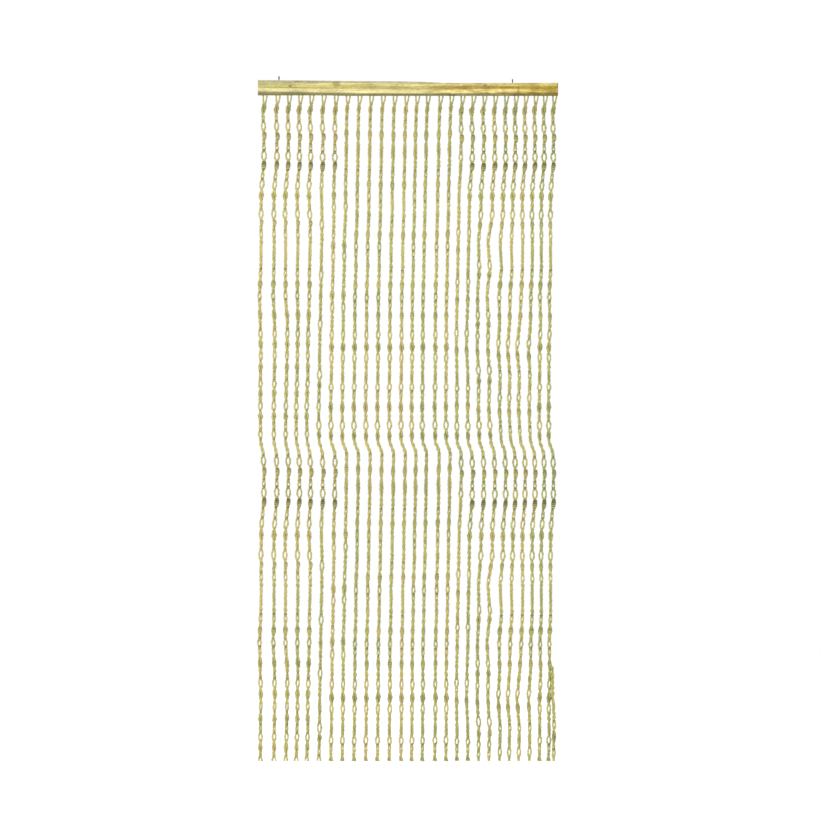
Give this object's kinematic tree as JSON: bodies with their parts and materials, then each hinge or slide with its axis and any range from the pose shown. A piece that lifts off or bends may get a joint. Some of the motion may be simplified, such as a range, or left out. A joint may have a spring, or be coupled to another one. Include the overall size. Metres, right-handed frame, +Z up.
{
  "type": "door string curtain on a wooden batten",
  "caption": "Door curtain of hanging husk strands tied in knots and open eyes, their roots in a groove under a moulded wooden batten with two screw eyes on top.",
  "frame": {"origin": "on the hang line, the level at which two hooks carry the screw eyes, above the middle of the batten's length and depth", "axes": "+Z up, +X along the batten to the right as seen from the front, +Y to the back, so the front faces -Y"},
  "size_m": [0.9006, 0.018, 2.0547],
  "materials": {
    "varnished_pine": "golden pine under a satin varnish",
    "dark_steel": "dull dark steel wire",
    "dry_husk": "matt twisted straw-coloured husk with greenish and tan strands"
  },
  "bodies": {
    "root": {"headrail": "varnished_pine", "screw_eye_left": "dark_steel", "screw_eye_right": "dark_steel", "strands_left": "dry_husk", "strands_right": "dry_husk"}
  },
  "joints": []
}
